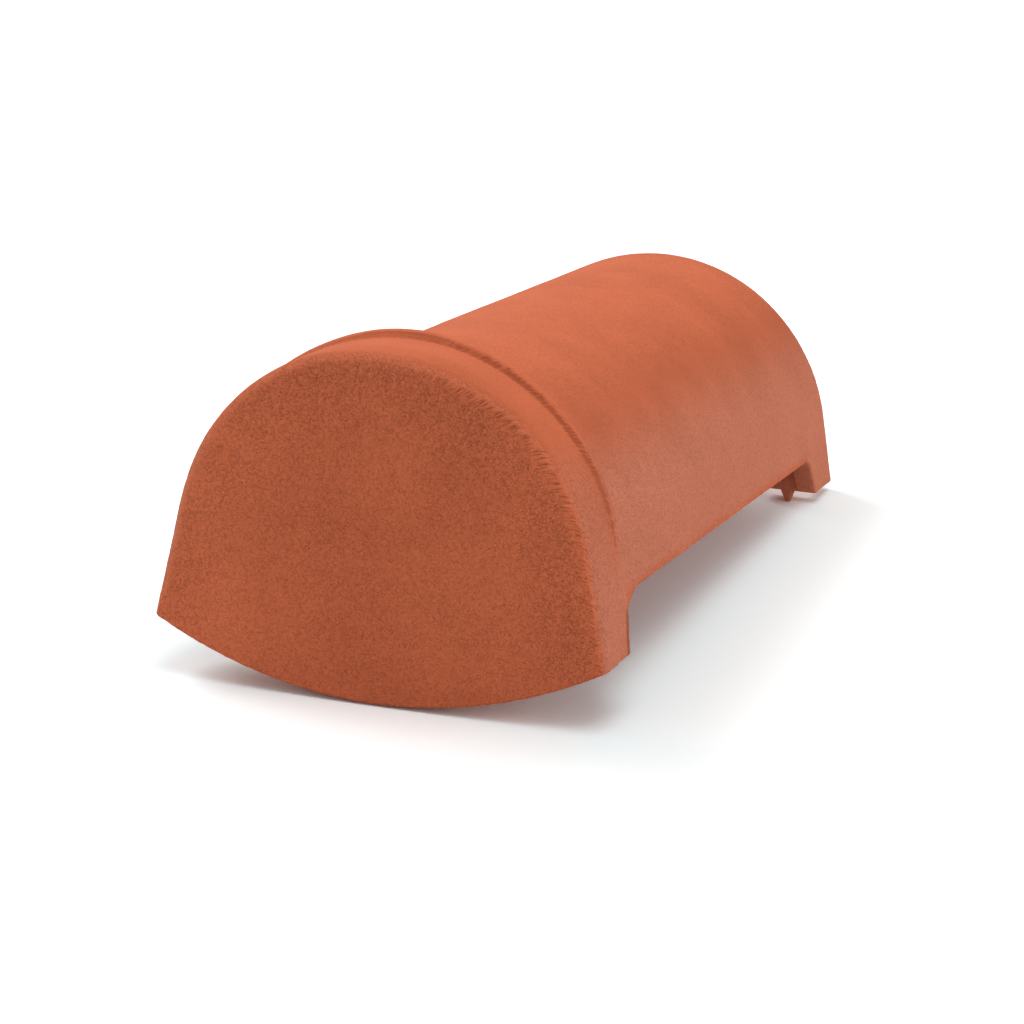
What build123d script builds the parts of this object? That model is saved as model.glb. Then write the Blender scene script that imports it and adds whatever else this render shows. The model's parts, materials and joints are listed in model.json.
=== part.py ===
from build123d import *
from math import atan2, cos, degrees, pi, radians, sin, tan
import os

# Ridge end tile: a half-round clay ridge tile whose gable end is closed by a plate.
# Millimetres. The tile is shaped in its own working frame: X across the ridge, Y along the
# barrel from the face of the plate to the open rear end, Z up, with Z = 0 near the lower side
# corners of the plate. At the end it is leaned back to lie on a level floor as it does unheld.

# Overall
tile_length = 452.0
leg_flare = 9.8
wall = 12.0

# Working lengths of the shapes that are cut away or fused
cut_depth = 60.0
cut_half_width = 200.0
overlap = 1.0

# Barrel: a half-round arch whose legs lean out by the flare
barrel_radius = 111.3
barrel_centre_height = 25.2
barrel_edge_height = 23.4
barrel_front = 7.0

# Closing plate at the gable end: a slightly larger arch over a bellied lower edge
plate_radius = 116.0
plate_centre_height = 30.9
plate_thickness = 16.0
skirt_height = -1.5
belly_height = -33.8
plate_rim_round = 5.0
belly_rim_round = 1.2

# Collar behind the plate: a band, then a step up to a rib that dies out at the legs
collar_length = 41.5
rib_front = 36.0
rib_rise = 4.6
step_run = 4.5
step_slices = 4
rib_rear_round = 1.5
skirt_slant = 6.5
skirt_corner_round = 3.0

# Inside of the collar: a recess that keeps the wall even
recess_wall = 13.0
recess_end = 28.0
recess_ramp = 13.0
plate_back_round = 6.0

# Side notches: a wide gusset at the collar, a tighter round at the foot
gusset_round = 37.0
notch_round = 9.0
foot_height = 2.0
foot_front_high = 407.5
foot_front_low = 415.0
rear_rim_round = 2.5
lower_edge_round = 1.5

# Rib across the inside of the rear end, flush with the front of the feet
rear_rib_depth = 22.5
rear_rib_thickness = 14.0

# Nibs under the rear rib: a wide root that tapers to a blunt tip, flush in front
nib_height = -4.8
nib_root_inner = 93.6
nib_root_outer = 100.6
nib_tip_inner = 97.2
nib_tip_outer = 100.2
nib_tip_depth = 4.0


def across(station):
    """Plane across the ridge at a distance behind the face of the plate; its own Y is up."""
    return Plane.XZ.offset(-station)


def arch_points(radius, centre_height, foot):
    """Toe, spring and crown of one side of an arch with leaning legs."""
    flare = radians(leg_flare)
    spring = (radius * cos(flare), centre_height + radius * sin(flare))
    toe = (spring[0] + (spring[1] - foot) * tan(flare), foot)
    crown = (0.0, centre_height + radius)
    return toe, spring, crown


def arch_outline(radius, centre_height, foot):
    """Leg, vault and other leg of an arch, from toe to toe."""
    toe, spring, crown = arch_points(radius, centre_height, foot)
    other_toe = (-toe[0], toe[1])
    other_spring = (-spring[0], spring[1])
    leg = Line(toe, spring)
    vault = ThreePointArc(spring, crown, other_spring)
    other_leg = Line(other_spring, other_toe)
    return [leg, vault, other_leg]


def arch_face(radius, centre_height, foot, station):
    """Half-round arch across the ridge, closed by a level sill at its foot."""
    outline = arch_outline(radius, centre_height, foot)
    sill = Line(outline[-1] @ 1, outline[0] @ 0)
    return across(station) * make_face(outline + [sill])


def arch_block(radius, centre_height, foot, start, end):
    """Arch carried straight along the ridge from one station to another."""
    return extrude(arch_face(radius, centre_height, foot, start), amount=start - end)


def rib_section(share, foot, station):
    """Arch between the band and the rib's crest; the legs stay in the band's own slope."""
    rise = rib_rise * share
    radius = plate_radius - rise * sin(radians(leg_flare))
    return arch_face(radius, plate_centre_height + rise, foot, station)


def plate():
    """Closing plate with its bellied lower edge and its rounded front rim."""
    outline = arch_outline(plate_radius, plate_centre_height, skirt_height)
    belly = ThreePointArc(outline[-1] @ 1, (0.0, belly_height), outline[0] @ 0)
    block = extrude(across(0.0) * make_face(outline + [belly]), amount=-plate_thickness)
    upper_rim = block.faces().sort_by(Axis.Y)[0].edges().sort_by(Axis.Z)[1:]
    block = fillet(upper_rim, plate_rim_round)
    lower_rim = block.faces().sort_by(Axis.Y)[0].edges().sort_by(Axis.Z)[0]
    return fillet(lower_rim, belly_rim_round)


def collar():
    """Band, cavetto step and rib, in slices that meet face to face."""
    step_start = rib_front - step_run
    band = arch_block(plate_radius, plate_centre_height, skirt_height, barrel_front, step_start)
    sections = []
    for slice_number in range(step_slices + 1):
        turn = pi / 2.0 * slice_number / step_slices
        station = step_start + step_run * sin(turn)
        sections.append(rib_section(1.0 - cos(turn), skirt_height, station))
    step = loft(sections, ruled=True)
    crest = extrude(rib_section(1.0, skirt_height, rib_front), amount=rib_front - collar_length)
    body = band + step + crest - skirt_relief()
    lower_corner = body.edges().filter_by(Axis.X).sort_by(Axis.Z)[:2].sort_by(Axis.Y)[-1]
    body = fillet(lower_corner, skirt_corner_round)
    rear_faces = body.faces().filter_by(faces_rear)
    rear_rim = rear_faces.edges().filter_by(Axis.X, reverse=True)
    return fillet(rear_rim, rib_rear_round)


def faces_rear(face):
    """True for a face that looks more or less to the rear."""
    return face.normal_at().Y > 0.3


def skirt_relief():
    """Wedge that slants the rear of the skirt forward towards its foot."""
    low = skirt_height - overlap
    outline = Polyline(
        (collar_length, barrel_edge_height),
        (collar_length - skirt_slant, low),
        (collar_length + skirt_slant, low),
        close=True,
    )
    return extrude(Plane.YZ * make_face(outline), amount=cut_half_width, both=True)


def hollow():
    """Inside of the tile: a recess under the collar, a ramp and the barrel's straight bore."""
    low = skirt_height - cut_depth
    recess_radius = plate_radius - recess_wall
    bore_radius = barrel_radius - wall
    ramp_end = recess_end + recess_ramp
    recess = arch_block(recess_radius, plate_centre_height, low, plate_thickness, recess_end)
    back_rim = recess.faces().sort_by(Axis.Y)[0].edges().sort_by(Axis.Z)[1:]
    recess = fillet(back_rim, plate_back_round)
    ramp = loft(
        [
            arch_face(recess_radius, plate_centre_height, low, recess_end),
            arch_face(bore_radius, barrel_centre_height, low, ramp_end),
        ],
        ruled=True,
    )
    bore = arch_block(bore_radius, barrel_centre_height, low, ramp_end, tile_length + overlap)
    return recess + ramp + bore


def side_notches():
    """Relief under both sides of the barrel, between the collar's skirt and the rear feet."""
    low = skirt_height - cut_depth
    outline = Polyline(
        (collar_length, low),
        (collar_length, barrel_edge_height),
        (foot_front_high, barrel_edge_height),
        (foot_front_low, foot_height),
        (foot_front_low, low),
        close=True,
    )
    face = make_face(outline)
    by_station = face.vertices().sort_by(Axis.Y)[-2:].sort_by(Axis.X)
    face = fillet(by_station[0], gusset_round)
    face = fillet(face.vertices().sort_by(Axis.X).sort_by(Axis.Y)[-1], notch_round)
    return extrude(Plane.YZ * face, amount=cut_half_width, both=True)


def rear_rib():
    """Arch-shaped rib across the inside of the rear end."""
    front = foot_front_low
    back = front + rear_rib_thickness
    opening_radius = barrel_radius - wall - rear_rib_depth
    block = arch_block(barrel_radius - wall / 2.0, barrel_centre_height, foot_height, front, back)
    low = skirt_height - cut_depth
    opening = arch_block(opening_radius, barrel_centre_height, low, front - overlap, back + overlap)
    return block - opening


def nib():
    """Right-hand nib: tapered inward and backward from a flush front."""
    front = foot_front_low
    root_height = foot_height + overlap
    root_middle = ((nib_root_inner + nib_root_outer) / 2.0, front + rear_rib_thickness / 2.0)
    tip_middle = ((nib_tip_inner + nib_tip_outer) / 2.0, front + nib_tip_depth / 2.0)
    root = Pos(*root_middle, root_height) * Rectangle(nib_root_outer - nib_root_inner, rear_rib_thickness)
    tip = Pos(*tip_middle, nib_height) * Rectangle(nib_tip_outer - nib_tip_inner, nib_tip_depth)
    return loft([root, tip], ruled=True)


def along_lower_flank(edge):
    """True for an edge that runs along the foot of one flank of the barrel."""
    box = edge.bounding_box()
    beside = abs(edge.center().X) > barrel_radius
    below = box.max.Z < barrel_edge_height + overlap
    return beside and below and box.max.Y < tile_length - rear_rim_round + overlap


def barrel():
    """Notched half-round barrel with rounded rear rim and lower edges, still solid inside."""
    body = arch_block(barrel_radius, barrel_centre_height, foot_height, barrel_front, tile_length)
    rear_rim = body.faces().sort_by(Axis.Y)[-1].edges().sort_by(Axis.Z)[1:]
    body = fillet(rear_rim, rear_rim_round) - side_notches()
    return fillet(body.edges().filter_by(along_lower_flank), lower_edge_round)


def tile_body():
    """The whole tile in its working frame, as one pressed piece."""
    shell = barrel() + collar() - hollow()
    right_nib = nib()
    return shell + plate() + rear_rib() + right_nib + mirror(right_nib, about=Plane.YZ)


def lie_on_floor(body):
    """Lean the tile onto the belly of its plate and its two nibs, and centre it over the origin."""
    rise = nib_height - belly_height
    run = foot_front_low + nib_tip_depth - plate_thickness
    lean = degrees(atan2(rise, run))
    lying = body.rotate(Axis.X, -lean)
    box = lying.bounding_box()
    middle = box.center()
    print("lean in degrees:", round(lean, 3))
    print("shift:", [round(-v, 3) for v in (middle.X, middle.Y, box.min.Z)])
    return lying.moved(Location((-middle.X, -middle.Y, -box.min.Z)))


tile = lie_on_floor(tile_body())
print("solids:", len(tile.solids()), "volume in litres:", round(tile.volume / 1e6, 3))
os.makedirs("parts", exist_ok=True)
export_step(tile, "parts/ridge_end_tile.step")
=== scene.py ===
import json
import math
import bmesh
import bpy
from mathutils import Matrix, Vector, noise


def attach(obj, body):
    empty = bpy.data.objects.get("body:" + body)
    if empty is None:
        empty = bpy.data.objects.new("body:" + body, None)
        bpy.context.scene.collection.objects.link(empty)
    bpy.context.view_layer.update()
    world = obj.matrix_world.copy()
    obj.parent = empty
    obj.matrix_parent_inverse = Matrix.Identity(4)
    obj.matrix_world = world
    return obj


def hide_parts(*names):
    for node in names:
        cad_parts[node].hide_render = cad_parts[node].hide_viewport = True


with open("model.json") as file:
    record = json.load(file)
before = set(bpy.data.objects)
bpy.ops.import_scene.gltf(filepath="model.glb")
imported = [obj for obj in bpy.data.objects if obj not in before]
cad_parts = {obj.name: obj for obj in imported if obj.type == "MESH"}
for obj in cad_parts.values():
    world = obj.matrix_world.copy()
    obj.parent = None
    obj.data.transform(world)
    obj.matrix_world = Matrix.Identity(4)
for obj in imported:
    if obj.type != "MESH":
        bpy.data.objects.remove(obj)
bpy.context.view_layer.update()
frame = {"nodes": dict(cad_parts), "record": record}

# Ridge end tile of red clay, pressed in a mould and fired unglazed, on a white studio floor.
# The scene is in metres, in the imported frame. The tile's own frame is in millimetres:
# X across the ridge, Y back along the barrel from the face of the plate, Z up.
mm = 0.001

# Tile, millimetres in its own frame
leg_flare = math.radians(9.8)
tile_length = 452.0
barrel_radius = 111.3
barrel_centre = 25.2
lower_edge = 23.4
rear_rim_round = 2.5
plate_radius = 116.0
plate_centre = 30.9
plate_thickness = 16.0
plate_rim_round = 5.0
plate_back_point = (0.0, 16.0, 40.0)
step_start = 31.5
step_run = 4.5
rib_rise = 4.6
rib_rear_round = 1.5
collar_end = 41.5
skirt_foot = -1.5
skirt_slant = 6.5
recess_radius = 103.0
recess_end = 28.0
recess_back_round = 6.0
ramp_end = 41.0
bore_radius = 99.3
rear_rib_radius = 76.8
rear_rib_front = 415.0
rear_rib_back = 429.0

# Mesh of the clay, millimetres and degrees
same_point = 0.001
flat_turn = math.radians(0.3)
facing = 0.999
facet_depth = 0.14
rim_facet_depth = 0.7
off_rim = 0.3
rim_reach = -30.0
weld = 0.12
face_pitch = 1.15
rim_pitch = 1.0
collar_pitch = 1.8
step_pitch = 0.8
collar_turn = 0.6
collar_skin = 7.5
barrel_pitch = 4.2
barrel_turn = 2.0
crease = math.radians(32.0)
crease_free = 1.0

# Relief of the clay, millimetres: sizes of the hills and their heights, wear and sag
warp_size = 70.0
warp_height = 0.28
dapple_size = 9.0
dapple_height = 0.1
pebble_size = 2.3
pebble_height = 0.14
tear_slant = -0.5
tear_width = 1.5
tear_length = 7.0
tear_height = 0.4
least_torn = 0.05
rim_band = 5.5
rim_band_half = 4.5
shoulder = 2.5
shoulder_half = 6.0
shoulder_drop = 1.7
shoulder_foot = (2.0, 18.0)
shoulder_full = (50.0, 110.0)
shoulder_reach = -25.0
crest_wear = 0.8
crest_wear_half = 1.5
rib_sag = 1.3
rib_sag_turns = (0.0, 35.0)
crown_slump = 2.2
slump_start = (-22.0, 2.0)
slump_end = (20.0, 50.0)
slump_depth = (1.5, 13.0)
slump_reach = (-15.0, -5.0)
flank_sag = 2.3
flank_middle = 58.0
flank_half = 36.0
flank_side = (20.0, 90.0)
flank_back = (60.0, 260.0)

# Zones of its finish: places in millimetres, turns from the crown in degrees, shares of the full effect
band_end = 25.5
face_edge = (0.3, 3.5)
torn_turns = (0.0, 38.0)
torn_fade = (55.0, 90.0)
torn_left = 0.12
torn_fade_share = 0.7
step_middle = 34.0
step_band_half = 2.4
step_fade = (70.0, 90.0)
step_turns = (-5.0, 30.0)
step_left = 0.15
step_right = 0.7
outer_skin = -3.0
# Painted shade in the step of the rib: its place, its width, its fade towards the legs and its share on the
# left
crevice_middle = 34.2
crevice_half = 1.4
crevice_fade = (66.0, 84.0)
crevice_left = 0.35
coarse_rim = (-50.0, -5.0)
coarse_rim_share = 0.5
coarse_barrel = 0.3
coarse_inside = 0.6
smooth_rear = (80.0, 300.0)
smooth_rear_share = 0.45
smooth_torn_share = 0.75
inside_skin = -9.0
leg_turns = (46.0, 68.0)
# Dusting on the legs, partly painted sheen: where it starts behind the face
dust_sheen_front = (0.1, 2.2)
clean_step_fade = (74.0, 90.0)
clean_share = 0.75
clean_edge = (0.5, 6.0)
foot_front = 403.0
# Painted highlight along the rounded rim of the plate: its place across the rim, its width, and its share of
# the paler mix
rim_highlight_middle = -2.0
rim_highlight_half = 2.6
rim_highlight_paleness = 0.15
# Painted shade in a streak above the legs: its turn from the crown on the collar and on the barrel, its
# width, where it starts, and how much it lessens the paler mix
flank_shade_collar = 66.0
flank_shade_barrel = 52.0
flank_shade_half = 15.0
flank_shade_front = (1.0, 6.0)
flank_shade_clean = 0.4
# Painted shade along the rounded rear edge of the collar's skirt: its width ahead of the edge, its top, and
# how much it lessens the paler mix
skirt_edge = (-6.5, -3.0)
skirt_top = (16.0, 25.0)
skirt_clean = 0.8
# Painted light on the left of the face: where it starts and where it is full
painted_left_side = (20.0, 100.0)

# Fired clay: colours, and the sizes of its patterns in millimetres
clay_dark = "#B45937"
clay_light = "#F17F55"
# Colours of the dusting on the legs, partly painted sheen
dust_sheen_dark = "#B8684C"
dust_sheen_light = "#EB8D6C"
cloud_size = 40.0
cloud_share = 0.5
wrinkle_size = 1.9
# Share of the painted shade in the wrinkles' valleys
wrinkle_share = 0.5
wrinkle_height = 0.3
grain_size = 0.65
grain_share = 1.25
grain_height = 0.13
stroke_width = 1.1
stroke_length = 8.0
# Share of the painted shade and highlight on the torn strokes
stroke_share = 3.2
stroke_height = 0.9
# Shares of painted shade and painted light in the clay's colour
shade_share = 0.75
skirt_share = 1.2
rim_highlight_share = 0.6
flank_shade_share = 0.27
painted_left_share = 0.25
grain_on_smooth = 0.45
grain_on_coarse = 0.4
clay_roughness = 0.85
clay_ior = 1.45
clay_specular = 0.25

# Camera, fitted to the photograph's outlines
camera_place = (0.5566, -1.5144, 0.5348)
camera_turn = 20.61
camera_tilt = -17.20
camera_roll = 0.23
focal_length = 104.6
sensor_width = 36.0
view_end = 100.0

# Studio
floor_size = 30.0
floor_white = "#E7E7E7"
# The floor's colour to the camera alone, linear and above 1, so that the lit floor comes out white
# Close to the tile, the floor is painted less red against the red light thrown by its clay
seen_near_tile = (1.3, 1.44, 1.46, 1.0)
seen_floor = (1.47, 1.47, 1.47, 1.0)
seen_far_floor = (3.2, 3.2, 3.2, 1.0)
tile_reach = (0.12, 0.23, 0.0)
near_reach = 0.1
far_start = 0.7
far_end = 2.2
sky_strength = 0.385
key_aim = (157.0, 45.0)
key_power = 31.5
side_aim = (0.0, 18.0)
side_power = 14.5
top_aim = (315.0, 70.0)
top_power = 15.5
lamp_distance = 2.6
lamp_size = 1.4


def srgb(code):
    """Linear colour of an sRGB hex value."""
    parts = [int(code[i : i + 2], 16) / 255.0 for i in (1, 3, 5)]
    linear = [v / 12.92 if v <= 0.04045 else ((v + 0.055) / 1.055) ** 2.4 for v in parts]
    return (*linear, 1.0)


def add(tree, kind, links=None, **settings):
    """Adds one node with its settings and the sockets that feed it."""
    node = tree.nodes.new(kind)
    for name, value in settings.items():
        setattr(node, name, value)
    for socket, value in (links or {}).items():
        target = node.inputs[socket]
        if isinstance(value, bpy.types.NodeSocket):
            tree.links.new(value, target)
        else:
            target.default_value = value
    return node


def tile_to_scene():
    """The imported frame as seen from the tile's own frame, from the mount on the plate's back."""
    mount = next(m for m in frame["record"]["mounts"] if m["name"] == "plate_back")
    lean = math.atan2(mount["axis"][2], mount["axis"][1])
    turn = Matrix.Rotation(lean, 4, "X")
    origin = Vector(mount["pos_m"]) - turn @ (Vector(plate_back_point) * mm)
    return Matrix.Translation(origin) @ turn @ Matrix.Scale(mm, 4)


def rounding(depth, radius):
    """How far a rounded rim lies below the full surface at a depth behind its end."""
    if depth >= radius:
        return 0.0
    return radius - math.sqrt(max(radius**2 - (radius - depth) ** 2, 0.0))


def collar_arch(station):
    """Radius and centre height of the collar's outside: rim round, band, cavetto step and rib."""
    rise = 0.0
    if station > step_start + step_run:
        rise = rib_rise - rounding(collar_end - station, rib_rear_round)
    elif station > step_start:
        share = (station - step_start) / step_run
        rise = rib_rise * (1.0 - math.sqrt(1.0 - share**2))
    drop = rounding(station, plate_rim_round)
    return plate_radius - rise * math.sin(leg_flare) - drop, plate_centre + rise


def arches(station):
    """Every arch that the tile has at a station, outside and inside, as radius and centre height."""
    found = []
    if station <= collar_end + weld:
        found.append(collar_arch(min(station, collar_end)))
    if station >= collar_end - weld:
        found.append((barrel_radius - rounding(tile_length - station, rear_rim_round), barrel_centre))
    if plate_thickness - weld <= station <= recess_end:
        found.append((recess_radius - rounding(station - plate_thickness, recess_back_round), plate_centre))
    elif recess_end < station < ramp_end:
        share = (station - recess_end) / (ramp_end - recess_end)
        radius = recess_radius + share * (bore_radius - recess_radius)
        found.append((radius, plate_centre + share * (barrel_centre - plate_centre)))
    elif station >= ramp_end:
        found.append((bore_radius, barrel_centre))
    if rear_rib_front - weld <= station <= rear_rib_back + weld:
        found.append((rear_rib_radius, barrel_centre))
    return found


def off_arch(point, radius, centre):
    """Distance of a point outside an arch with leaning legs, and the way straight out of it."""
    side = abs(point.x)
    height = point.z - centre
    out = Vector((math.cos(leg_flare), 0.0, math.sin(leg_flare)))
    if height > side * math.tan(leg_flare):
        out = Vector((side, 0.0, height)).normalized()
    distance = side * out.x + height * out.z - radius
    out.x = math.copysign(out.x, point.x)
    return distance, out


def onto_arch(point):
    """Moves a point of a faceted arch onto the true one."""
    for radius, centre in arches(point.y):
        distance, out = off_arch(point, radius, centre)
        if abs(distance) < facet_depth:
            point -= out * distance
            return


def onto_rim(point):
    """Moves a point of the plate's faceted front rim onto its true round."""
    distance, out = off_arch(point, plate_radius, plate_centre)
    side = distance + plate_rim_round
    back = point.y - plate_rim_round
    size = math.hypot(side, back)
    if side > 0.0 > back and abs(size - plate_rim_round) < rim_facet_depth:
        grow = plate_rim_round / size - 1.0
        point += out * (side * grow)
        point.y += back * grow


def outward(point, normal):
    """Way straight out of the clay at a point; on the plate's front rim, that of its true round."""
    distance, out = off_arch(point, plate_radius, plate_centre)
    side = max(distance + plate_rim_round, 0.0)
    back = point.y - plate_rim_round
    off_round = abs(math.hypot(side, back) - plate_rim_round)
    if back < 0.0 and distance > rim_reach and point.z > shoulder_foot[0] and off_round < off_rim:
        return (out * side + Vector((0.0, back, 0.0))).normalized()
    return normal


def steps(start, end, pitch):
    """Evenly spaced values between two ends, a pitch apart at most, the ends left out."""
    count = math.ceil((end - start) / pitch)
    return [start + (end - start) * i / count for i in range(1, count)]


def slice_faces(body, faces, planes):
    """Cuts the faces by each plane in turn, given as a point and a normal."""
    parts = list({v for f in faces for v in f.verts} | {e for f in faces for e in f.edges}) + faces
    for point, normal in planes:
        cut = bmesh.ops.bisect_plane(body, geom=parts, dist=weld, plane_co=point, plane_no=normal)
        parts = cut["geom"]


def across_ridge(values):
    """Planes across the ridge at the given stations."""
    return [((0.0, y, 0.0), (0.0, 1.0, 0.0)) for y in values]


def level(values):
    """Level planes at the given heights."""
    return [((0.0, 0.0, z), (0.0, 0.0, 1.0)) for z in values]


def upright(values):
    """Planes along the ridge at the given distances to the side."""
    return [((x, 0.0, 0.0), (1.0, 0.0, 0.0)) for x in values]


def fan(centre, pitch):
    """Planes through the axis of a vault, a turn in degrees apart."""
    turns = [math.radians(a) for a in steps(0.0, 180.0, pitch)]
    return [((0.0, 0.0, centre), (-math.sin(a), 0.0, math.cos(a))) for a in turns]


def refine(body):
    """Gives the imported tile's plain facets the fine even mesh that its relief needs."""
    bmesh.ops.remove_doubles(body, verts=body.verts, dist=same_point)
    bmesh.ops.dissolve_limit(body, angle_limit=flat_turn, verts=body.verts, edges=body.edges)
    low = min(v.co.z for v in body.verts)
    side = max(v.co.x for v in body.verts)
    heights = steps(low, plate_centre, face_pitch)

    def chosen(test):
        body.normal_update()
        return [f for f in body.faces if test(f.calc_center_median(), f.normal)]

    face = chosen(lambda c, n: c.y < plate_thickness and (n.y < -facing or n.z < -0.5))
    slice_faces(body, face, upright(steps(-side, side, face_pitch)))
    face = chosen(lambda c, n: c.y < weld and n.y < -facing)
    top = plate_centre + plate_radius
    slice_faces(body, face, level(heights + steps(plate_centre, top, face_pitch)))

    def outside(c):
        return math.hypot(c.x, max(c.z - plate_centre, 0.0)) > plate_radius - collar_skin

    collar = chosen(lambda c, n: n.y > -facing and c.y < collar_end + weld and outside(c))
    slice_faces(body, collar, level(heights) + fan(plate_centre, collar_turn))
    collar = chosen(lambda c, n: n.y > -facing and c.y < collar_end + weld and outside(c))
    stations = steps(0.0, plate_rim_round, rim_pitch) + steps(plate_rim_round, step_start, collar_pitch)
    stations += steps(step_start, step_start + step_run, step_pitch)
    stations += steps(step_start + step_run, collar_end, step_pitch)
    slice_faces(body, collar, across_ridge([plate_rim_round, step_start, step_start + step_run] + stations))

    rest = chosen(lambda c, n: c.y > collar_end or (c.y > weld and not outside(c)))
    slice_faces(body, rest, across_ridge(steps(collar_end, tile_length, barrel_pitch)))
    rest = chosen(lambda c, n: c.y > collar_end or (c.y > weld and not outside(c)))
    legs = level(steps(low, barrel_centre, barrel_pitch))
    slice_faces(body, rest, legs + fan(barrel_centre, barrel_turn))


def ease(value, start, end):
    """Smooth rise from 0 at the start to 1 at the end."""
    share = min(max((value - start) / (end - start), 0.0), 1.0)
    return share * share * (3.0 - 2.0 * share)


def bell(value, middle, half):
    """Smooth bell: 1 at the middle, a third of it half a width away."""
    return math.exp(-(((value - middle) / half) ** 2))


def hills(point, size, layer):
    """Smooth seedless noise, about -1 to 1, with hills of the given size."""
    return noise.noise(point / size + Vector((layer * 17.3, layer * 5.1, layer * 9.7)))


def unrolled(point):
    """Distance along the collar's arch from the crown, and distance outside the arch."""
    side = abs(point.x)
    height = point.z - plate_centre
    along = plate_radius * math.atan2(side, height)
    if height < side * math.tan(leg_flare):
        spring = plate_radius * (math.pi / 2.0 - leg_flare)
        along = spring + side * math.sin(leg_flare) - height * math.cos(leg_flare)
    return math.copysign(along, point.x), off_arch(point, plate_radius, plate_centre)[0]


def torn_clay(point, turn, across, on_skin):
    """Share of torn clay: across the plate's rim, and across the step, both stronger on the right."""
    rim = bell(across, -rim_band, rim_band_half) if point.y < band_end else 0.0
    right = ease(turn, *torn_turns) * (1.0 - torn_fade_share * ease(turn, *torn_fade))
    step = bell(point.y, step_middle, step_band_half) * (1.0 - ease(abs(turn), *step_fade)) * on_skin
    stepped = step_left + step_right * ease(turn, *step_turns)
    return rim * (torn_left + (1.0 - torn_left) * right) + step * stepped


def coarse_clay(point, turn, reach, torn):
    """Share of coarse clay: on the face of the plate, on the legs and inside, less where torn."""
    face = (1.0 - ease(point.y, *face_edge)) * (1.0 + coarse_rim_share * ease(reach, *coarse_rim))
    rear = 1.0 - smooth_rear_share * ease(point.y, *smooth_rear)
    leg = coarse_barrel + (1.0 - coarse_barrel) * ease(abs(turn), *leg_turns) * rear
    hidden = coarse_inside if reach < inside_skin and point.y > plate_thickness - weld else 0.0
    return max(face, leg, hidden) * (1.0 - smooth_torn_share * min(torn, 1.0))


def finish_zones(point):
    """Shares of torn clay, painted shade (below 0 where light is painted), coarse clay and a dusting that is
    partly painted sheen at a point, and its place on the unrolled collar.
    """
    along, reach = unrolled(point)
    across = reach + point.y
    turn = math.degrees(along / plate_radius)
    on_skin = 1.0 if reach > outer_skin else 0.0
    torn = torn_clay(point, turn, across, on_skin)
    coarse = coarse_clay(point, turn, reach, torn)

    # Painted shade: a dark line in the step of the rib, where the step faces the front, weaker on the left
    crevice = bell(point.y, crevice_middle, crevice_half) * (1.0 - ease(abs(turn), *crevice_fade)) * on_skin
    crevice *= crevice_left + (1.0 - crevice_left) * ease(turn, *step_turns)

    # Painted highlight: a light line along the rounded rim of the plate, fading towards the bottom
    rim_highlight = bell(across, rim_highlight_middle, rim_highlight_half) if point.y < band_end else 0.0
    rim_highlight *= ease(point.z, *shoulder_foot)

    # Painted shade: a darker streak above the legs, between the lit top and the lit flank
    flank_shade_turn = flank_shade_barrel if point.y > collar_end else flank_shade_collar
    flank_shade = bell(abs(turn), flank_shade_turn, flank_shade_half) * ease(point.y, *flank_shade_front)

    # Painted shade on the rounded rear edge of the collar's skirt, and painted light on the left of the face
    edge = 0.0
    if plate_thickness < point.y < collar_end + weld:
        skirt_rear = collar_end - skirt_slant * (lower_edge - point.z) / (lower_edge - skirt_foot)
        edge = ease(point.y - skirt_rear, *skirt_edge) * (1.0 - ease(point.z, *skirt_top))
    painted_left_light = ease(-point.x, *painted_left_side) * (1.0 - ease(point.y, *face_edge))

    # Dusting on the legs, partly painted sheen; less of it in the step, along the lower edge, on the skirt's
    # painted shade and under the painted streak above the legs
    dust_and_sheen = ease(abs(turn), *leg_turns) * ease(point.y, *dust_sheen_front) * (1.0 - skirt_clean * edge)
    in_step = bell(point.y, step_start, step_run) * (1.0 - ease(abs(turn), *clean_step_fade))
    dust_and_sheen *= 1.0 - clean_share * in_step
    if collar_end < point.y < foot_front:
        dust_and_sheen *= ease(point.z - lower_edge, *clean_edge)
    if point.y < collar_end:
        dust_and_sheen *= 1.0 - flank_shade_clean * flank_shade

    # Painted light and shade in one share: shade in the step, above the legs and on the skirt's edge, light
    # (below 0) on the rim and on the left of the face
    shade = crevice + flank_shade_share * flank_shade + skirt_share * edge - rim_highlight_share * rim_highlight - painted_left_share * painted_left_light
    return (torn, shade, coarse, max(dust_and_sheen, rim_highlight_paleness * rim_highlight)), along, across


def relief(point, torn, coarse, along, across):
    """Height of the clay above the true form: warp, dapples, pebbles, worn edges and torn teeth."""
    height = warp_height * hills(point, warp_size, 1) + dapple_height * hills(point, dapple_size, 2)
    height += pebble_height * coarse * hills(point, pebble_size, 3)
    reach = across - point.y
    if point.y < band_end and reach > shoulder_reach:
        drop = shoulder_drop * ease(point.z, *shoulder_foot) * (0.5 + 0.5 * ease(abs(along), *shoulder_full))
        height -= drop * bell(across, -shoulder, shoulder_half)
    if reach > 0.5 * rib_rise:
        height -= crest_wear * bell(point.y, step_start + step_run, crest_wear_half)
    if torn > least_torn:
        stroke = Vector(((along + tear_slant * across) / tear_width, across / tear_length, 0.0))
        height += tear_height * torn * hills(stroke, 1.0, 4)
    return height


def sagged(point, turn):
    """How far the front has sagged in the kiln: left flank inward, left of the rib and crown down."""
    reach, out = off_arch(point, plate_radius, plate_centre)
    share = bell(point.z, flank_middle, flank_half) * ease(-point.x, *flank_side)
    move = Vector((flank_sag * share * (1.0 - ease(point.y, *flank_back)), 0.0, 0.0))
    if step_start < point.y < collar_end + weld:
        move -= out * (rib_sag * ease(-turn, *rib_sag_turns) * ease(reach, 0.0, rib_rise))
    if point.y < step_start:
        share = ease(turn, *slump_start) * (1.0 - ease(turn, *slump_end)) * ease(reach, *slump_reach)
        move -= out * (crown_slump * share * (1.0 - ease(point.y, *slump_depth)))
    return move


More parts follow.
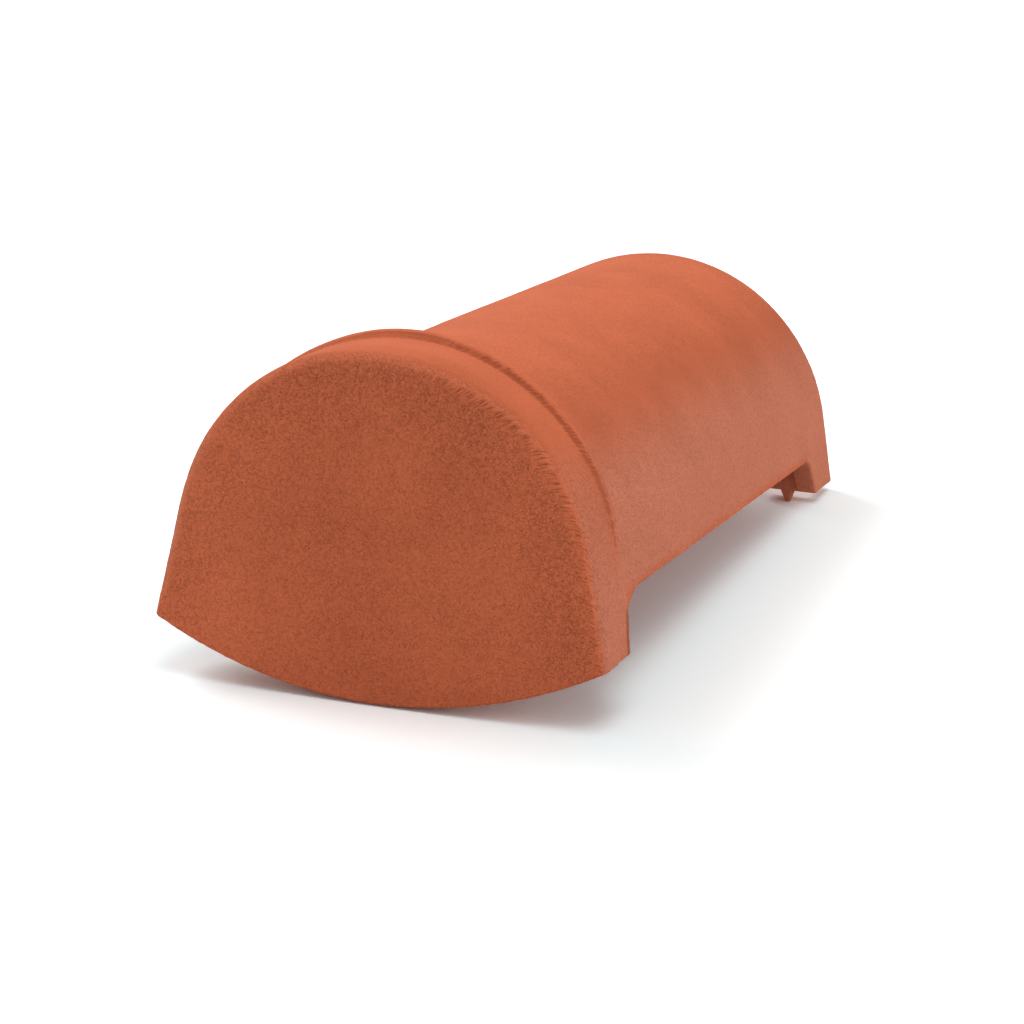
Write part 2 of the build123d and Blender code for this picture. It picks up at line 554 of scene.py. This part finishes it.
def clay_tile(cad):
    """The tile as a fine mesh with the relief of its pressed clay."""
    to_scene = tile_to_scene()
    body = bmesh.new()
    body.from_mesh(cad.data)
    body.transform(to_scene.inverted())
    refine(body)
    for vert in body.verts:
        onto_rim(vert.co)
        onto_arch(vert.co)
    body.normal_update()
    for edge in body.edges:
        on_step = step_start - crease_free < edge.verts[0].co.y < collar_end - crease_free
        edge.smooth = on_step or edge.calc_face_angle(0.0) < crease
    for face in body.faces:
        face.smooth = True
    bmesh.ops.triangulate(body, faces=[f for f in body.faces if len(f.verts) > 4])
    body.normal_update()
    layers = [body.verts.layers.float.new(name) for name in ("torn", "shade", "coarse", "dust_and_sheen_share")]
    unrolled_layer = body.verts.layers.float_vector.new("unrolled")
    for vert in body.verts:
        zones, along, across = finish_zones(vert.co)
        for layer, share in zip(layers, zones):
            vert[layer] = share
        vert[unrolled_layer] = (along + tear_slant * across, across, 0.0)
        way = outward(vert.co, vert.normal)
        vert.co += way * relief(vert.co, zones[0], zones[2], along, across)
        vert.co += sagged(vert.co, math.degrees(along / plate_radius))
    body.transform(to_scene)
    for vert in body.verts:
        vert.co.z = max(vert.co.z, 0.0)
    mesh = bpy.data.meshes.new("ridge_end_tile_clay")
    body.to_mesh(mesh)
    body.free()
    piece = bpy.data.objects.new("ridge_end_tile_clay", mesh)
    bpy.context.collection.objects.link(piece)
    return piece


def fired_clay():
    """Natural red fired clay, pressed in a mould and unglazed.

    To the eye: a dry, matt, warm orange red without any gloss, cloudy over the barrel, with the
    short wrinkles of the mould on the face of the plate, their valleys painted darker, torn strokes
    along its rim with painted shade and highlight, a dark line of painted shade in the step of the
    rib, and paler legs from a dusting that is partly painted sheen.
    """
    material = bpy.data.materials.new("fired_clay")
    material.use_nodes = True
    tree = material.node_tree
    tree.nodes.clear()
    math_kind = "ShaderNodeMath"
    vector_kind = "ShaderNodeVectorMath"

    # Places in millimetres: on the tile, and along and across its unrolled collar
    place = add(tree, "ShaderNodeTexCoord").outputs["Object"]
    place = add(tree, vector_kind, {0: place, 3: 1.0 / mm}, operation="SCALE").outputs[0]
    strokes = add(tree, "ShaderNodeAttribute", attribute_name="unrolled").outputs["Vector"]
    squeeze = (1.0 / stroke_width, 1.0 / stroke_length, 0.0)
    strokes = add(tree, vector_kind, {0: strokes, 1: squeeze}, operation="MULTIPLY").outputs[0]

    # Zones of the tile, from its mesh
    torn = add(tree, "ShaderNodeAttribute", attribute_name="torn").outputs["Fac"]
    shade = add(tree, "ShaderNodeAttribute", attribute_name="shade").outputs["Fac"]
    coarse = add(tree, "ShaderNodeAttribute", attribute_name="coarse").outputs["Fac"]
    dust_and_sheen_share = add(tree, "ShaderNodeAttribute", attribute_name="dust_and_sheen_share").outputs["Fac"]

    # Clouds of uneven firing
    links = {"Vector": place, "Scale": 1.0 / cloud_size, "Detail": 3.0}
    cloud = add(tree, "ShaderNodeTexNoise", links).outputs["Fac"]

    # Grain of the clay. The real grit is about 0.2 mm, too fine to show: it is drawn at 0.65 mm.
    links = {"Vector": place, "Scale": 1.0 / grain_size, "Detail": 2.0}
    grain = add(tree, "ShaderNodeTexNoise", links).outputs["Fac"]
    grain = add(tree, math_kind, {0: grain, 1: 0.5}, operation="SUBTRACT").outputs[0]
    links = {0: coarse, 1: grain_on_coarse, 2: grain_on_smooth}
    share = add(tree, math_kind, links, operation="MULTIPLY_ADD").outputs[0]
    grain = add(tree, math_kind, {0: grain, 1: share}, operation="MULTIPLY").outputs[0]

    # Wrinkles: narrow ridges where the noise crosses its middle, about 2 mm apart
    links = {"Vector": place, "Scale": 1.0 / wrinkle_size, "Detail": 2.0, "Distortion": 0.9}
    wrinkle = add(tree, "ShaderNodeTexNoise", links).outputs["Fac"]
    wrinkle = add(tree, math_kind, {0: wrinkle, 1: 0.5}, operation="SUBTRACT").outputs[0]
    wrinkle = add(tree, math_kind, {0: wrinkle}, operation="ABSOLUTE").outputs[0]
    links = {"Value": wrinkle, "From Max": 0.2, "To Min": 0.5, "To Max": -0.5}
    wrinkle = add(tree, "ShaderNodeMapRange", links).outputs["Result"]
    wrinkle = add(tree, math_kind, {0: wrinkle, 1: coarse}, operation="MULTIPLY").outputs[0]

    # Torn strokes across the rim of the plate and across the step, about 1 mm wide
    links = {"Vector": strokes, "Scale": 1.0, "Detail": 1.0, "Distortion": 0.3}
    stroke = add(tree, "ShaderNodeTexNoise", links).outputs["Fac"]
    stroke = add(tree, math_kind, {0: stroke, 1: 0.5}, operation="SUBTRACT").outputs[0]
    stroke = add(tree, math_kind, {0: stroke, 1: torn}, operation="MULTIPLY").outputs[0]

    # Tone between the dark and the light clay
    middle = 0.5 - 0.5 * cloud_share
    tone = add(tree, math_kind, {0: cloud, 1: cloud_share, 2: middle}, operation="MULTIPLY_ADD").outputs[0]
    tone = add(tree, math_kind, {0: grain, 1: grain_share, 2: tone}, operation="MULTIPLY_ADD").outputs[0]
    # Painted shade in the wrinkles: their valleys darker and their ridges lighter, with the same pattern as
    # their bump
    tone = add(tree, math_kind, {0: wrinkle, 1: wrinkle_share, 2: tone}, operation="MULTIPLY_ADD").outputs[0]
    # Painted shade in the grooves and painted highlight on the ridges of the torn strokes, with the same
    # pattern as their bump
    tone = add(tree, math_kind, {0: stroke, 1: stroke_share, 2: tone}, operation="MULTIPLY_ADD").outputs[0]
    # Painted shade darkens the clay, and painted light (shade below 0) lightens it
    tone = add(tree, math_kind, {0: shade, 1: -shade_share, 2: tone}, operation="MULTIPLY_ADD").outputs[0]
    links = {0: tone, 6: srgb(clay_dark), 7: srgb(clay_light)}
    clay_colour = add(tree, "ShaderNodeMix", links, data_type="RGBA").outputs[2]
    links = {0: tone, 6: srgb(dust_sheen_dark), 7: srgb(dust_sheen_light)}
    dust_sheen_colour = add(tree, "ShaderNodeMix", links, data_type="RGBA").outputs[2]
    links = {0: dust_and_sheen_share, 6: clay_colour, 7: dust_sheen_colour}
    colour = add(tree, "ShaderNodeMix", links, data_type="RGBA").outputs[2]

    # Fine relief in millimetres
    height = add(tree, math_kind, {0: wrinkle, 1: wrinkle_height}, operation="MULTIPLY").outputs[0]
    height = add(tree, math_kind, {0: grain, 1: grain_height, 2: height}, operation="MULTIPLY_ADD").outputs[0]
    links = {0: stroke, 1: stroke_height, 2: height}
    height = add(tree, math_kind, links, operation="MULTIPLY_ADD").outputs[0]
    bump = add(tree, "ShaderNodeBump", {"Strength": 1.0, "Distance": mm, "Height": height})

    # Unglazed fired clay: typical IOR of a dry mineral, very rough, and dulled by its pores
    links = {
        "Base Color": colour,
        "Roughness": clay_roughness,
        "IOR": clay_ior,
        "Specular IOR Level": clay_specular,
        "Normal": bump.outputs["Normal"],
    }
    clay = add(tree, "ShaderNodeBsdfPrincipled", links)
    add(tree, "ShaderNodeOutputMaterial", {"Surface": clay.outputs["BSDF"]})
    return material


def white_floor():
    """Plain white floor that keeps the tile's shadow."""
    half = floor_size / 2.0
    mesh = bpy.data.meshes.new("floor")
    corners = [(-half, -half, 0.0), (half, -half, 0.0), (half, half, 0.0), (-half, half, 0.0)]
    mesh.from_pydata(corners, [], [(0, 1, 2, 3)])
    floor = bpy.data.objects.new("floor", mesh)
    bpy.context.collection.objects.link(floor)
    material = bpy.data.materials.new("floor_white")
    material.use_nodes = True
    tree = material.node_tree
    tree.nodes.clear()
    path = add(tree, "ShaderNodeLightPath")

    # White to the camera: painted a little less red close to the tile, to offset the red light that its clay
    # throws on the floor there, and lighter far out, where the lamps no longer reach
    place = add(tree, "ShaderNodeTexCoord").outputs["Object"]
    away = add(tree, "ShaderNodeVectorMath", {0: place}, operation="ABSOLUTE").outputs[0]
    away = add(tree, "ShaderNodeVectorMath", {0: away, 1: tile_reach}, operation="SUBTRACT").outputs[0]
    away = add(tree, "ShaderNodeVectorMath", {0: away, 1: (0.0, 0.0, 0.0)}, operation="MAXIMUM").outputs[0]
    away = add(tree, "ShaderNodeVectorMath", {0: away}, operation="LENGTH").outputs["Value"]
    near = add(tree, "ShaderNodeMapRange", {"Value": away, "From Max": near_reach}).outputs["Result"]
    links = {"Value": away, "From Min": far_start, "From Max": far_end}
    far = add(tree, "ShaderNodeMapRange", links).outputs["Result"]
    links = {0: near, 6: seen_near_tile, 7: seen_floor}
    seen = add(tree, "ShaderNodeMix", links, data_type="RGBA").outputs[2]
    links = {0: far, 6: seen, 7: seen_far_floor}
    seen = add(tree, "ShaderNodeMix", links, data_type="RGBA").outputs[2]
    links = {0: path.outputs["Is Camera Ray"], 6: srgb(floor_white), 7: seen}
    colour = add(tree, "ShaderNodeMix", links, data_type="RGBA")
    paint = add(tree, "ShaderNodeBsdfDiffuse", {"Color": colour.outputs[2]})
    add(tree, "ShaderNodeOutputMaterial", {"Surface": paint.outputs["BSDF"]})
    mesh.materials.append(material)


def white_world():
    """Even white surroundings: plain white to the camera, a softer fill to the tile."""
    world = bpy.data.worlds.new("studio")
    bpy.context.scene.world = world
    world.use_nodes = True
    tree = world.node_tree
    tree.nodes.clear()
    path = add(tree, "ShaderNodeLightPath")
    seen = add(
        tree,
        "ShaderNodeMath",
        {0: path.outputs["Is Camera Ray"], 1: path.outputs["Is Glossy Ray"]},
        operation="MAXIMUM",
    )
    seen = add(
        tree,
        "ShaderNodeMath",
        {0: seen.outputs[0], 1: path.outputs["Is Transmission Ray"]},
        operation="MAXIMUM",
    )
    strength = add(
        tree,
        "ShaderNodeMapRange",
        {"Value": seen.outputs[0], "To Min": sky_strength, "To Max": 1.0},
    )
    sky = add(tree, "ShaderNodeBackground", {"Color": (1, 1, 1, 1), "Strength": strength.outputs["Result"]})
    add(tree, "ShaderNodeOutputWorld", {"Surface": sky.outputs["Background"]})


def soft_lamp(name, bearing, height, power):
    """Square softbox aimed at the tile from a bearing and a height in degrees."""
    data = bpy.data.lights.new(name, "AREA")
    data.shape = "SQUARE"
    data.size = lamp_size
    data.energy = power
    lamp = bpy.data.objects.new(name, data)
    bpy.context.collection.objects.link(lamp)
    turn = math.radians(bearing)
    rise = math.radians(height)
    ray = Vector((math.cos(turn) * math.cos(rise), math.sin(turn) * math.cos(rise), math.sin(rise)))
    lamp.location = ray * lamp_distance
    lamp.rotation_euler = (-ray).to_track_quat("-Z", "Y").to_euler()


def camera():
    """Camera at the photograph's angle."""
    data = bpy.data.cameras.new("camera")
    data.sensor_width = sensor_width
    data.lens = focal_length
    data.clip_end = view_end
    eye = bpy.data.objects.new("camera", data)
    bpy.context.collection.objects.link(eye)
    turn = Matrix.Rotation(math.radians(camera_turn), 4, "Z")
    tilt = Matrix.Rotation(math.radians(90.0 + camera_tilt), 4, "X")
    roll = Matrix.Rotation(math.radians(camera_roll), 4, "Z")
    eye.matrix_world = Matrix.Translation(camera_place) @ turn @ tilt @ roll
    bpy.context.scene.camera = eye


tile = clay_tile(frame["nodes"]["ridge_end_tile"])
tile.data.materials.append(fired_clay())
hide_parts("ridge_end_tile")
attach(tile, "root")

white_floor()
white_world()
soft_lamp("key", *key_aim, key_power)
soft_lamp("side", *side_aim, side_power)
soft_lamp("top", *top_aim, top_power)
camera()
bpy.context.scene.view_settings.view_transform = "Standard"
